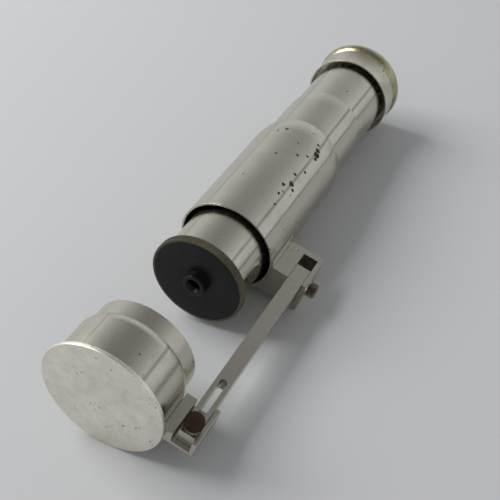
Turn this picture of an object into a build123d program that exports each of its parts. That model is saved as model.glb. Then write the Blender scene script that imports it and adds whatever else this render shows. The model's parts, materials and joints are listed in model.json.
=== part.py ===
"""Pocket telescope with a folding foot.

A main tube with the optics slides in a short stepped sleeve. A clevis on the sleeve's side
carries a square arm, and a hollow drum with a flat disc, the foot, is clamped to the arm's
slotted end. Millimetres. The optical axis is Y and the telescope looks along +Y. Every piece
is drawn with y = 0 at the sleeve's mouth, and export() moves the row's origin to the centre
of the objective ring's front mouth.
"""
from build123d import *
import math
import os

os.makedirs("parts", exist_ok=True)

# Clearances
SLIDE_FIT = 0.05      # radial, between a tube and the bore it slides or turns in
SCREW_FIT = 0.05      # radial, between a screw's shank and its holes
SIDE_FIT = 0.1        # between the arm's faces and the faces that guide it
FACE_GAP = 0.05       # between two flat faces that turn or slide on each other

# Sleeve
SLEEVE_R = 15.0
SLEEVE_WALL = 0.6
SLEEVE_LENGTH = 44.3  # of the wide section, from its mouth
SHOULDER_LENGTH = 7.0
SHOULDER_STEP = 0.5   # square step left at the shoulder's narrow end
GUIDE_WALL = 0.58     # wall of the narrow section that guides the main tube
GUIDE_LENGTH = 14.1
NOSE_LENGTH = 6.0     # rounded end of the narrow section
NOSE_EDGE = 0.25      # wall left at the nose's tip

# Main tube
TUBE_R = 12.87
TUBE_WALL = 0.6
TUBE_OUT = 14.9       # how far it stands out of the sleeve's mouth, as drawn
TUBE_END = 99.4

# Objective ring and its lens cell
RING_MOUTH = 92.06    # the edge that faces the sleeve
RING_RECESS_R = 14.25
RING_RECESS_END = 97.4
RING_LIP_R = 14.75
RING_WAIST_R = 14.5
RING_BAND_END = 98.8
RING_GROOVE_R = 13.9
RING_GROOVE_WIDTH = 1.5
BEAD_R = 15.27
BEAD_ROOT_R = 14.3
BEAD_LENGTH = 4.4
RING_FRONT_R = 14.0
RING_FRONT = 105.6
FRONT_BORE_R = 13.3
FRONT_LIP_BORE_R = 12.4
FRONT_LIP = 0.8       # ledge at the bottom of the front bore, over the lens cell
CELL_LENGTH = 7.6
CELL_FLANGE = 1.2
CELL_WALL = 0.9
OBJECTIVE_SEAT = 1.5  # width of the cell's ledge that the lenses rest on
CROWN_EDGE = 1.5
CROWN_BULGE = 0.9
FLINT_EDGE = 1.6
FLINT_BULGE = 0.4

# Eyepiece head
HEAD_R = 14.44
HEAD_LENGTH = 2.4
KNURL_DEPTH = 0.14
HEAD_TEETH = 84
HEAD_SPIGOT = 6.0     # the part of the head's collar that turns inside the main tube
HEAD_SPIGOT_WALL = 1.2
FACE_R = 13.6
FACE_THICKNESS = 1.1
FACE_DISH = 0.45
BOSS_R = 3.75
BOSS_TIP_R = 3.45
BOSS_HEIGHT = 2.5
BOSS_NECK_R = 2.5
EYE_HOLE_R = 1.6
EYE_FLARE_R = 2.3
BARREL_R = 8.5
BARREL_WALL = 0.8
BARREL_LENGTH = 34.0
BARREL_FLANGE_GAP = 0.62   # from the barrel's flange to the spigot round it
BARREL_FLANGE = 1.0
LENS_RING_WIDTH = 1.1
LENS_RING_LENGTH = 1.4
EYE_LENS_EDGE = 1.6
EYE_LENS_BULGE = 0.9
FIELD_LENS_EDGE = 1.8
FIELD_LENS_BULGE = 1.2
FLAT_BULGE = 0.1      # of the nearly flat faces of the eye and field lenses
STOP_THICKNESS = 0.5
FIELD_STOP_R = 4.2

# Erecting lenses
ERECTOR_START = 30.0
ERECTOR_LENGTH = 36.0
ERECTOR_R = 9.0
ERECTOR_WALL = 0.6
ERECTOR_COLLAR = 2.0
ERECTOR_COLLAR_INSET = 2.0
ERECTOR_LENS_EDGE = 1.6
ERECTOR_LENS_BULGE = 0.8
ERECTOR_STOP_R = 2.6

# Arm. Its pieces are drawn level, X away from the optical axis and Z up, then rolled.
ARM_ROLL = 17.0       # degrees about the optical axis, the outer side down
ARM_X = 22.8          # middle of the arm from the optical axis
ARM_WIDTH = 4.5
ARM_HEIGHT = 4.5
ARM_TAIL_Y = 6.5
ARM_END_Y = -61.9
SLOT_LENGTH = 16.0
PIVOT_Y = 2.8
PIVOT_Z = -0.5

# Clevis on the sleeve
CLEVIS_LENGTH = 13.4
CLEVIS_BACK_WALL = 2.0
CLEVIS_CHEEK = 1.35
CLEVIS_TOP = 2.4
CLEVIS_BOTTOM = -8.7
CLEVIS_INNER_X = 12.0
SADDLE_THICKNESS = 0.6
SADDLE_ANGLE = 62.0
SADDLE_TURN = 14.0    # degrees that the saddle's middle lies below the arm's level
PIVOT_SCREW_R = 1.1
PIVOT_DEPTH = 2.3     # of the shank's tip in the inner cheek
PIVOT_HEAD_R = 2.25
PIVOT_HEAD = 2.7
WASHER_THICKNESS = 0.45

# Foot
FOOT_DX = 0.4         # the drum's axis from the optical axis, across the arm
FOOT_DZ = 1.2
FOOT_FRONT = -66.09
FOOT_DISC_R = 17.79
FOOT_DISC = 1.2
DRUM_R = 16.17
DRUM_WALL = 0.6
DRUM_LENGTH = 11.2
DRUM_SHOULDER = 2.8
COLLAR_R = 14.87
COLLAR_WALL = 0.45
COLLAR_MOUTH = -45.42
COLLAR_HIDDEN = 4.0   # length of the collar inside the drum
BRACKET_START = -63.4
BRACKET_LENGTH = 12.6
BRACKET_FLOOR = 0.9
BRACKET_CHEEK = 1.3
BRACKET_CHEEK_TOP = 1.9
HEEL_TOP = 0.9        # of the block that joins the bracket to the drum
HEEL_WIDTH = 3.2
FOOT_SCREW_Y = -59.1
FOOT_SCREW_R = 0.95
FOOT_HEAD_R = 2.6
FOOT_HEAD = 2.85
FOOT_WASHER_R = 2.3
NUT_ACROSS = 4.4
NUT_HEIGHT = 1.8
SCREW_TEETH = 22
SCREW_KNURL = 0.18

# Sizes that follow from the ones above
TUBE_BORE = TUBE_R - TUBE_WALL
GUIDE_BORE = TUBE_R + SLIDE_FIT
GUIDE_R = GUIDE_BORE + GUIDE_WALL
GUIDE_START = SLEEVE_LENGTH + SHOULDER_LENGTH
NOSE_START = GUIDE_START + GUIDE_LENGTH
NOSE_END = NOSE_START + NOSE_LENGTH
HEAD_BACK = -TUBE_OUT - FACE_GAP
HEAD_FRONT = HEAD_BACK - HEAD_LENGTH
FACE_BACK = HEAD_FRONT + FACE_THICKNESS
FACE_FRONT = FACE_BACK - FACE_THICKNESS
HEAD_SPIGOT_R = TUBE_BORE - SLIDE_FIT
HEAD_SPIGOT_BORE = HEAD_SPIGOT_R - HEAD_SPIGOT_WALL
BARREL_FLANGE_R = HEAD_SPIGOT_BORE - BARREL_FLANGE_GAP
BARREL_BORE = BARREL_R - BARREL_WALL
BARREL_END = FACE_BACK + BARREL_LENGTH
ERECTOR_BORE = ERECTOR_R - ERECTOR_WALL
ERECTOR_END = ERECTOR_START + ERECTOR_LENGTH
CELL_R = TUBE_BORE
CELL_BORE = CELL_R - CELL_WALL
CELL_START = TUBE_END - CELL_LENGTH
CELL_FRONT = TUBE_END + CELL_FLANGE
LENS_SEAT = CELL_START + OBJECTIVE_SEAT
ARM_LEFT = ARM_X - ARM_WIDTH / 2
ARM_RIGHT = ARM_X + ARM_WIDTH / 2
ARM_TOP = ARM_HEIGHT / 2
CLEVIS_SLOT_LEFT = ARM_LEFT - SIDE_FIT
CLEVIS_SLOT_RIGHT = ARM_RIGHT + SIDE_FIT
CLEVIS_OUTER = CLEVIS_SLOT_RIGHT + CLEVIS_CHEEK
TAIL_REACH = math.hypot(ARM_TAIL_Y - PIVOT_Y, ARM_TOP - PIVOT_Z)
CLEVIS_SLOT_FLOOR = PIVOT_Z - TAIL_REACH - 2 * SIDE_FIT
BRACKET_TOP = -ARM_TOP - SIDE_FIT
BRACKET_BOTTOM = BRACKET_TOP - BRACKET_FLOOR
BRACKET_OUTER = ARM_RIGHT + SIDE_FIT + BRACKET_CHEEK
SLOT_HALF = FOOT_SCREW_R + SCREW_FIT
DRUM_START = FOOT_FRONT + FOOT_DISC
DRUM_END = DRUM_START + DRUM_LENGTH


def turned(*outline):
    """A piece turned about the optical axis, from (radius, y) points and arcs in order."""
    edges = []
    last = None
    for item in outline:
        if isinstance(item, Edge):
            start, end = item @ 0, item @ 1
            if last is not None and (end - last).length < (start - last).length:
                start, end = end, start
        else:
            start = end = Vector(*item)
            item = None
        if last is not None and (start - last).length > 1e-6:
            edges.append(Line(last, start))
        if item is not None:
            edges.append(item)
        first = start if last is None else first
        last = end
    edges.append(Line(last, first))
    return revolve(make_face(edges), Axis.Y)


def ring(outer, inner, start, end):
    """A plain ring about the optical axis between two places on it."""
    return turned((inner, start), (outer, start), (outer, end), (inner, end))


def rise(radius, bulge, reach):
    """How far a lens face that bulges at its middle stands above its edge, at a given reach."""
    sphere = (radius**2 + bulge**2) / (2 * bulge)
    return math.sqrt(sphere**2 - reach**2) - (sphere - bulge)


def lens(radius, start, end, front_bulge, back_bulge):
    """A round lens whose edge runs from start to end. A negative bulge is a hollow face."""

    def face(edge_y, bulge):
        half_rise = math.copysign(rise(radius, abs(bulge), radius / 2), bulge)
        return ThreePointArc((0, edge_y + bulge), (radius / 2, edge_y + half_rise), (radius, edge_y))

    front = face(start, -front_bulge)
    back = face(end, back_bulge)
    sides = [Line((radius, start), (radius, end)), Line((0, end + back_bulge), (0, start - front_bulge))]
    return revolve(make_face([front, back, *sides]), Axis.Y)


def block(x, y, z):
    """A box between the two values given along each axis."""
    middle = [(a + b) / 2 for a, b in (x, y, z)]
    return Pos(*middle) * Box(*[b - a for a, b in (x, y, z)])


def post(radius, start, end):
    """A cylinder along Z between two heights."""
    return Pos(0, 0, start) * extrude(Circle(radius), amount=end - start)


def knurled_post(radius, depth, teeth, start, end):
    """A cylinder along Z with straight V grooves, for the fingers to turn."""
    points = []
    for step in range(2 * teeth):
        reach = radius - depth * (step % 2)
        angle = math.pi * step / teeth
        points.append((reach * math.cos(angle), reach * math.sin(angle)))
    outline = make_face(Polyline(*points, close=True))
    return Pos(0, 0, start) * extrude(outline, amount=end - start)


def along_y(piece):
    """Turns a piece drawn along Z so that its Z lies along the optical axis."""
    return Rot(-90, 0, 0) * piece


def across(piece, y, z):
    """Turns a piece drawn along Z so that it points away from the optical axis at y, z."""
    return Pos(0, y, z) * Rot(0, 90, 0) * piece


def rolled(piece):
    """Moves a piece drawn level to the arm's side of the telescope."""
    return Rot(0, ARM_ROLL, 0) * piece


def at_foot(piece):
    """Moves a piece turned about the optical axis to the drum's own axis."""
    return rolled(Pos(FOOT_DX, 0, FOOT_DZ) * piece)


def export(name, piece):
    """Writes one node, with the origin moved to the objective ring's front mouth."""
    moved = Pos(0, -RING_FRONT, 0) * piece
    export_step(moved, f"parts/{name}.step")


# Sleeve

def sleeve():
    """The outer tube: a wide section, a rounded shoulder, and a guide with a rounded nose."""
    inner = SLEEVE_R - SLEEVE_WALL
    tip_r = GUIDE_BORE + NOSE_EDGE
    shoulder = rounded_shoulder(SLEEVE_R, SLEEVE_LENGTH, GUIDE_R + SHOULDER_STEP, GUIDE_START)
    nose = rounded_shoulder(GUIDE_R, NOSE_START, tip_r, NOSE_END)
    lining = rounded_shoulder(inner, SLEEVE_LENGTH, GUIDE_BORE + SHOULDER_STEP, GUIDE_START - GUIDE_WALL)
    return turned((inner, 0), (SLEEVE_R, 0), shoulder, (GUIDE_R, GUIDE_START), nose,
                  (GUIDE_BORE, NOSE_END), (GUIDE_BORE, GUIDE_START - GUIDE_WALL), lining)


def rounded_shoulder(wide_r, wide_y, thin_r, thin_y):
    """A convex arc from a wide radius, which it leaves along the tube, to a thinner one."""
    return TangentArc((wide_r, wide_y), (thin_r, thin_y), tangent=(0, 1))


def saddle():
    """The curved plate between the sleeve and the clevis."""
    shell = ring(SLEEVE_R + SADDLE_THICKNESS, SLEEVE_R, 0, CLEVIS_LENGTH)
    reach = 2 * SLEEVE_R
    half = math.radians(SADDLE_ANGLE / 2)
    corners = [(0, 0), (reach * math.cos(half), reach * math.sin(half)),
               (reach * math.cos(half), -reach * math.sin(half))]
    wedge = extrude(make_face(Polyline(*corners, close=True)), amount=CLEVIS_LENGTH)
    return rolled(Rot(0, SADDLE_TURN, 0) * (shell & (Rot(-90, 0, 0) * wedge)))


def clevis():
    """The forked block that holds the arm's tail."""
    body = block((CLEVIS_INNER_X, CLEVIS_OUTER), (0, CLEVIS_LENGTH), (CLEVIS_BOTTOM, CLEVIS_TOP))
    body -= ring(SLEEVE_R + SADDLE_THICKNESS, 0, -1, CLEVIS_LENGTH + 1)
    body -= block((CLEVIS_SLOT_LEFT, CLEVIS_SLOT_RIGHT), (-1, CLEVIS_LENGTH - CLEVIS_BACK_WALL),
                  (CLEVIS_SLOT_FLOOR, CLEVIS_TOP + 1))
    body -= pivot_hole(CLEVIS_SLOT_LEFT - PIVOT_DEPTH - SCREW_FIT, CLEVIS_OUTER + 1)
    return rolled(body)


def pivot_hole(start, end):
    """The bore that the pivot screw's shank fills, between two distances from the axis."""
    return across(post(PIVOT_SCREW_R + SCREW_FIT, start, end), PIVOT_Y, PIVOT_Z)


def pivot_washer():
    """The washer under the pivot screw's head."""
    washer = post(PIVOT_HEAD_R, CLEVIS_OUTER, CLEVIS_OUTER + WASHER_THICKNESS)
    return rolled(across(washer, PIVOT_Y, PIVOT_Z) - pivot_hole(0, 2 * CLEVIS_OUTER))


def pivot_screw():
    """The knurled screw that the arm turns on."""
    seat = CLEVIS_OUTER + WASHER_THICKNESS + FACE_GAP
    head = knurled_post(PIVOT_HEAD_R, SCREW_KNURL, SCREW_TEETH, seat, seat + PIVOT_HEAD)
    shank = post(PIVOT_SCREW_R, CLEVIS_SLOT_LEFT - PIVOT_DEPTH, seat)
    return rolled(across(head + shank, PIVOT_Y, PIVOT_Z))


# Main tube and objective

def main_tube():
    """The sliding tube that holds all the optics."""
    return ring(TUBE_R, TUBE_BORE, -TUBE_OUT, TUBE_END)


def objective_ring():
    """The ring on the far end: a recess for the sleeve's nose, a band, a groove and a bead."""
    bead_start = RING_BAND_END + RING_GROOVE_WIDTH
    bead_end = bead_start + BEAD_LENGTH
    band = ThreePointArc((RING_LIP_R, RING_MOUTH), (RING_WAIST_R, (RING_MOUTH + RING_BAND_END) / 2),
                         (RING_LIP_R, RING_BAND_END))
    bead = ThreePointArc((BEAD_ROOT_R, bead_start), (BEAD_R, (bead_start + bead_end) / 2),
                         (BEAD_ROOT_R, bead_end))
    return turned((RING_RECESS_R, RING_MOUTH), band, (RING_GROOVE_R, RING_BAND_END),
                  (RING_GROOVE_R, bead_start), bead, (RING_FRONT_R, bead_end),
                  (RING_FRONT_R, RING_FRONT), (FRONT_BORE_R, RING_FRONT),
                  (FRONT_BORE_R, CELL_FRONT + FRONT_LIP), (FRONT_LIP_BORE_R, CELL_FRONT + FRONT_LIP),
                  (FRONT_LIP_BORE_R, CELL_FRONT),
                  (TUBE_R, CELL_FRONT), (TUBE_R, RING_RECESS_END), (RING_RECESS_R, RING_RECESS_END))


def objective_cell():
    """The cup that the two objective lenses drop into, with a flange on the tube's end."""
    return turned((CELL_BORE - OBJECTIVE_SEAT, CELL_START), (CELL_R, CELL_START), (CELL_R, TUBE_END),
                  (TUBE_R, TUBE_END), (TUBE_R, CELL_FRONT), (CELL_BORE, CELL_FRONT),
                  (CELL_BORE, LENS_SEAT), (CELL_BORE - OBJECTIVE_SEAT, LENS_SEAT))


def flint_lens():
    """The inner objective lens, hollow towards its partner so that the two nest."""
    return lens(CELL_BORE, LENS_SEAT, LENS_SEAT + FLINT_EDGE + CROWN_BULGE, -FLINT_BULGE, -CROWN_BULGE)


def crown_lens():
    """The outer objective lens."""
    start = LENS_SEAT + FLINT_EDGE + CROWN_BULGE
    return lens(CELL_BORE, start, start + CROWN_EDGE, CROWN_BULGE, CROWN_BULGE)


def objective_retainer():
    """The ring that holds the objective lenses in their cell."""
    inner = CELL_BORE - OBJECTIVE_SEAT / 2
    start = LENS_SEAT + FLINT_EDGE + CROWN_BULGE + CROWN_EDGE + rise(CELL_BORE, CROWN_BULGE, inner)
    return ring(CELL_BORE, inner, start, CELL_FRONT)


# Erecting lenses

def erector_tube():
    """The inner tube that holds the pair of lenses that turn the picture upright."""
    return ring(ERECTOR_R, ERECTOR_BORE, ERECTOR_START, ERECTOR_END)


def erector_collars():
    """The two rings that centre the erector tube in the main tube."""
    first = ERECTOR_START + ERECTOR_COLLAR_INSET
    last = ERECTOR_END - ERECTOR_COLLAR_INSET - ERECTOR_COLLAR
    collars = [ring(TUBE_BORE, ERECTOR_R, y, y + ERECTOR_COLLAR) for y in (first, last)]
    return Compound(children=collars)


def erector_lenses():
    """The pair of erecting lenses, one at each end of their tube."""
    first = ERECTOR_START + ERECTOR_COLLAR_INSET
    last = ERECTOR_END - ERECTOR_COLLAR_INSET - ERECTOR_LENS_EDGE
    pair = [lens(ERECTOR_BORE, y, y + ERECTOR_LENS_EDGE, ERECTOR_LENS_BULGE, ERECTOR_LENS_BULGE)
            for y in (first, last)]
    return Compound(children=pair)


def erector_stop():
    """The pierced disc halfway along the erector tube."""
    middle = (ERECTOR_START + ERECTOR_END) / 2
    return ring(ERECTOR_BORE, ERECTOR_STOP_R, middle, middle + STOP_THICKNESS)


# Eyepiece head

def head_collar():
    """The knurled rim with its spigot, which turns in the main tube's end."""
    rim = along_y(knurled_post(HEAD_R, KNURL_DEPTH, HEAD_TEETH, HEAD_FRONT, HEAD_BACK))
    spigot = ring(HEAD_SPIGOT_R, 0, HEAD_BACK, HEAD_BACK + HEAD_SPIGOT)
    bore = ring(HEAD_SPIGOT_BORE, 0, FACE_BACK - 1, HEAD_BACK + HEAD_SPIGOT + 1)
    seat = ring(FACE_R, 0, FACE_FRONT - 1, FACE_BACK)
    return rim + spigot - bore - seat


def head_face():
    """The dark dished plate that closes the head round the eye boss."""
    return turned((BOSS_NECK_R, FACE_FRONT + FACE_DISH), (BOSS_R, FACE_FRONT + FACE_DISH),
                  (FACE_R, FACE_FRONT), (FACE_R, FACE_BACK), (BOSS_NECK_R, FACE_BACK))


def eye_boss():
    """The small boss with the eye hole, screwed through the head's face."""
    seat = FACE_FRONT + FACE_DISH
    tip = seat - BOSS_HEIGHT
    edge = BOSS_TIP_R - EYE_FLARE_R
    return turned((BOSS_NECK_R, seat), (BOSS_R, seat), (BOSS_TIP_R, tip + edge / 3),
                  (BOSS_TIP_R - edge / 3, tip), (EYE_FLARE_R, tip), (EYE_HOLE_R, tip + edge),
                  (EYE_HOLE_R, FACE_BACK), (BOSS_NECK_R, FACE_BACK))


def eyepiece_barrel():
    """The tube behind the face that holds the eyepiece's lenses."""
    flange_back = FACE_BACK + BARREL_FLANGE
    return turned((BARREL_BORE, FACE_BACK), (BARREL_FLANGE_R, FACE_BACK), (BARREL_FLANGE_R, flange_back),
                  (BARREL_R, flange_back), (BARREL_R, BARREL_END), (BARREL_BORE, BARREL_END))


def barrel_ring(lens_edge, bulge):
    """A ring screwed into the barrel against a lens face that starts at its edge."""
    inner = BARREL_BORE - LENS_RING_WIDTH
    start = lens_edge + rise(BARREL_BORE, bulge, inner)
    return ring(BARREL_BORE, inner, start, start + LENS_RING_LENGTH)


def eye_lens_start():
    """Where the eye lens's edge begins, with its bulge clear of the face."""
    return FACE_BACK + EYE_LENS_BULGE + 2 * SIDE_FIT


def field_lens_start():
    """Where the field lens's edge begins, with its ring just inside the barrel's end."""
    return BARREL_END - LENS_RING_LENGTH - FIELD_LENS_EDGE - FIELD_LENS_BULGE


def eye_lens():
    """The small strong lens behind the eye hole."""
    start = eye_lens_start()
    return lens(BARREL_BORE, start, start + EYE_LENS_EDGE, EYE_LENS_BULGE, FLAT_BULGE)


def field_lens():
    """The lens at the barrel's inner end."""
    start = field_lens_start()
    return lens(BARREL_BORE, start, start + FIELD_LENS_EDGE, FLAT_BULGE, FIELD_LENS_BULGE)


def eyepiece_rings():
    """The rings behind the eye lens and behind the field lens."""
    behind_eye = barrel_ring(eye_lens_start() + EYE_LENS_EDGE, FLAT_BULGE)
    behind_field = barrel_ring(field_lens_start() + FIELD_LENS_EDGE, FIELD_LENS_BULGE)
    return Compound(children=[behind_eye, behind_field])


def field_stop():
    """The pierced disc that gives the view its sharp edge."""
    middle = (FACE_BACK + BARREL_END) / 2
    return ring(BARREL_BORE, FIELD_STOP_R, middle, middle + STOP_THICKNESS)


# Arm

def arm_bar():
    """The square bar between clevis and foot, with a pivot hole and a slot for the foot screw."""
    body = block((ARM_LEFT, ARM_RIGHT), (ARM_END_Y, ARM_TAIL_Y), (-ARM_TOP, ARM_TOP))
    body -= pivot_hole(ARM_LEFT - 1, ARM_RIGHT + 1)
    slot_start = FOOT_SCREW_Y - SCREW_FIT
    slot_end = slot_start + SLOT_LENGTH
    slot = block((ARM_X - SLOT_HALF, ARM_X + SLOT_HALF), (slot_start, slot_end), (-ARM_HEIGHT, ARM_HEIGHT))
    for end in (slot_start, slot_end):
        slot += Pos(ARM_X, end, 0) * post(SLOT_HALF, -ARM_HEIGHT, ARM_HEIGHT)
    return rolled(body - slot)


# Foot

def foot_disc():
    """The flat disc that the telescope stands on."""
    return at_foot(ring(FOOT_DISC_R, 0, FOOT_FRONT, DRUM_START))


def foot_drum():
    """The drum behind the disc, with a rounded shoulder down to the collar."""
    inner = DRUM_R - DRUM_WALL
    shoulder_end = DRUM_END + DRUM_SHOULDER
    outside = rounded_shoulder(DRUM_R, DRUM_END, COLLAR_R + DRUM_WALL / 2, shoulder_end)
    inside = rounded_shoulder(inner, DRUM_END - DRUM_WALL, COLLAR_R, shoulder_end - DRUM_WALL)
    return at_foot(turned((inner, DRUM_START), (DRUM_R, DRUM_START), outside,
                          (COLLAR_R, shoulder_end), inside))


def foot_collar():
    """The thinner collar that runs from inside the drum to the foot's open mouth."""
    start = DRUM_END + DRUM_SHOULDER - COLLAR_HIDDEN
    return at_foot(ring(COLLAR_R, COLLAR_R - COLLAR_WALL, start, COLLAR_MOUTH))


def foot_bracket():
    """The channel on the drum's side that the arm lies in, with a heel against the drum."""
    y = (BRACKET_START, BRACKET_START + BRACKET_LENGTH)
    floor = block((0, BRACKET_OUTER), y, (BRACKET_BOTTOM, BRACKET_TOP))
    cheek = block((BRACKET_OUTER - BRACKET_CHEEK, BRACKET_OUTER), y, (BRACKET_BOTTOM, BRACKET_CHEEK_TOP))
    heel = block((0, FOOT_DX + DRUM_R + HEEL_WIDTH), y, (BRACKET_BOTTOM, HEEL_TOP))
    drum = Pos(FOOT_DX, 0, FOOT_DZ) * ring(DRUM_R, 0, y[0] - 1, y[1] + 1)
    return rolled(floor + cheek + heel - drum - foot_screw_post(SCREW_FIT, 2 * BRACKET_BOTTOM, 0))


def foot_screw_post(clearance, start, end):
    """A post on the foot screw's axis between two heights."""
    return Pos(ARM_X, FOOT_SCREW_Y, 0) * post(FOOT_SCREW_R + clearance, start, end)


def foot_washer():
    """The washer between the foot screw's head and the arm."""
    start = ARM_TOP + FACE_GAP
    washer = Pos(ARM_X, FOOT_SCREW_Y, 0) * post(FOOT_WASHER_R, start, start + WASHER_THICKNESS)
    return rolled(washer - foot_screw_post(SCREW_FIT, 0, 2 * ARM_HEIGHT))


def foot_nut():
    """The hexagonal nut fixed under the bracket's floor."""
    hexagon = RegularPolygon(NUT_ACROSS / 2, 6, major_radius=False)
    nut = extrude(hexagon, amount=NUT_HEIGHT)
    placed = Pos(ARM_X, FOOT_SCREW_Y, BRACKET_BOTTOM - NUT_HEIGHT) * nut
    return rolled(placed - foot_screw_post(SCREW_FIT, 4 * BRACKET_BOTTOM, 0))


def foot_screw():
    """The knurled screw that clamps the foot to the arm."""
    seat = ARM_TOP + WASHER_THICKNESS + 2 * FACE_GAP
    head = knurled_post(FOOT_HEAD_R, SCREW_KNURL, SCREW_TEETH, seat, seat + FOOT_HEAD)
    shank = foot_screw_post(0, BRACKET_BOTTOM - NUT_HEIGHT, seat)
    return rolled(Pos(ARM_X, FOOT_SCREW_Y, 0) * head + shank)


def main():
    """Writes every node."""
    export("sleeve", sleeve())
    export("clevis_saddle", saddle())
    export("clevis", clevis())
    export("pivot_washer", pivot_washer())
    export("pivot_screw", pivot_screw())

    export("main_tube", main_tube())
    export("objective_ring", objective_ring())
    export("objective_cell", objective_cell())
    export("objective_flint_lens", flint_lens())
    export("objective_crown_lens", crown_lens())
    export("objective_retainer", objective_retainer())
    export("erector_tube", erector_tube())
    export("erector_collars", erector_collars())
    export("erector_lenses", erector_lenses())
    export("erector_stop", erector_stop())

    export("eyepiece_collar", head_collar())
    export("eyepiece_face", head_face())
    export("eye_boss", eye_boss())
    export("eyepiece_barrel", eyepiece_barrel())
    export("eye_lens", eye_lens())
    export("field_lens", field_lens())
    export("eyepiece_lens_rings", eyepiece_rings())
    export("field_stop", field_stop())

    export("arm_bar", arm_bar())
    export("foot_disc", foot_disc())
    export("foot_drum", foot_drum())
    export("foot_collar", foot_collar())
    export("foot_bracket", foot_bracket())
    export("foot_washer", foot_washer())
    export("foot_nut", foot_nut())
    export("foot_screw", foot_screw())


main()
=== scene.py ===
import json
import math

import bpy
from bpy.props import FloatProperty, FloatVectorProperty, IntProperty, PointerProperty
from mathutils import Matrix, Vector

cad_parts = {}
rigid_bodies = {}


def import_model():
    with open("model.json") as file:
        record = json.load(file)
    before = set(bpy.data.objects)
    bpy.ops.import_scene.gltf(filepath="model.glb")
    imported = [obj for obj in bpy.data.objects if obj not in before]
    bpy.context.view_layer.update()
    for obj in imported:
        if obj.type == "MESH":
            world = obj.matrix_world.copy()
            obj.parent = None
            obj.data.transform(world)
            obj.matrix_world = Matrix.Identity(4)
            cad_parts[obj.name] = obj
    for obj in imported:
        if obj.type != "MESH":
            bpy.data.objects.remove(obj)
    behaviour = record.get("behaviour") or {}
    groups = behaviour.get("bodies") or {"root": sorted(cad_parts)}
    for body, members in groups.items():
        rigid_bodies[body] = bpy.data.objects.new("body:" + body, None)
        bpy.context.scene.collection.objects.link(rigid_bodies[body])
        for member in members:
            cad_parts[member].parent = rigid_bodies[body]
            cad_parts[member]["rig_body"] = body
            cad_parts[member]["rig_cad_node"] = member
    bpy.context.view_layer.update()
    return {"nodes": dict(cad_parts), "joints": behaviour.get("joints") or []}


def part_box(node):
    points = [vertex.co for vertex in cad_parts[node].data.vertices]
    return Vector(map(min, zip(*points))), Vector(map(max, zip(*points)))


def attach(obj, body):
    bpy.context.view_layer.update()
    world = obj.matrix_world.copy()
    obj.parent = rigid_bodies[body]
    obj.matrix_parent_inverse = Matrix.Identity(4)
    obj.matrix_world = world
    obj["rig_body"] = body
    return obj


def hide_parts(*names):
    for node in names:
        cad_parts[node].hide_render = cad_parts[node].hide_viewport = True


bl_info = {
    "name": "Pocket telescope with a folding foot",
    "version": (1, 0, 0),
    "blender": (4, 5, 0),
    "location": "View3D > Sidebar > Telescope",
    "description": "Builds the finished look of a small nickel-plated telescope on its frame",
    "category": "Object",
}

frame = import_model()
MM = 0.001

# The arm and all that it carries lie rolled about the telescope's axis.
FOLD = next(joint for joint in frame["joints"] if joint["name"] == "arm_fold")
OUTWARD = -Vector(FOLD["axis"]).normalized()
ALONG = Vector((0, 1, 0))
UPWARD = OUTWARD.cross(ALONG)


# ---------------------------------------------------------------- sizes and colours

def length(name, text, value):
    """A length that can be changed in the sidebar."""
    return FloatProperty(name=name, description=text, default=value, min=0, unit="LENGTH",
                         precision=5)


def colour(name, text, value):
    """A colour that can be changed in the sidebar."""
    return FloatVectorProperty(name=name, description=text, default=value, min=0, max=1, size=3,
                               subtype="COLOR")


def factor(name, text, value):
    """A share between none and all."""
    return FloatProperty(name=name, description=text, default=value, min=0, max=1, subtype="FACTOR")


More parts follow.
